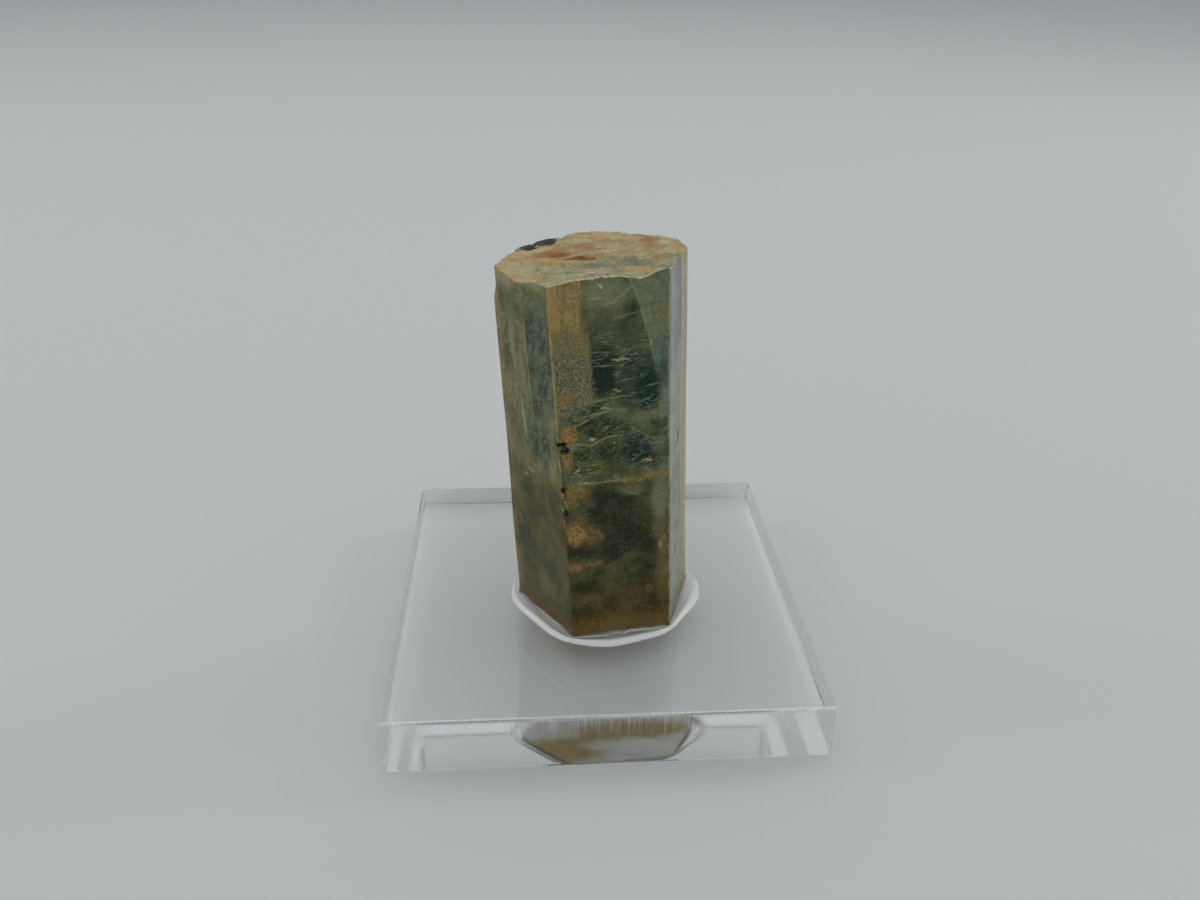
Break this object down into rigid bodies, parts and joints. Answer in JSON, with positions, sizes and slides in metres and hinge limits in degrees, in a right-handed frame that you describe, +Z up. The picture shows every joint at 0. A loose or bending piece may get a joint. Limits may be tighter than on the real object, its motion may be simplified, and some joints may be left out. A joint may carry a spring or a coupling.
{
  "type": "aquamarine crystal on a clear base",
  "caption": "Stubby six-sided aquamarine (beryl) crystal with a flat natural end, glued upright on a small square of clear acrylic.",
  "frame": {"origin": "middle of the clear base's underside", "axes": "+Z up through the base, -Y towards the crystal's widest face, +X to the right when facing that face"},
  "size_m": [0.045, 0.045, 0.0465],
  "materials": {
    "beryl": "glossy natural prism faces, blue-green under olive and ochre veils; dull cream and rust end",
    "clear_glue": "clear set glue, glossy",
    "clear_acrylic": "clear polished sheet with faintly sawn sides"
  },
  "bodies": {
    "root": {"aquamarine_crystal": "beryl", "glue_bead": "clear_glue", "acrylic_base": "clear_acrylic"}
  },
  "joints": []
}
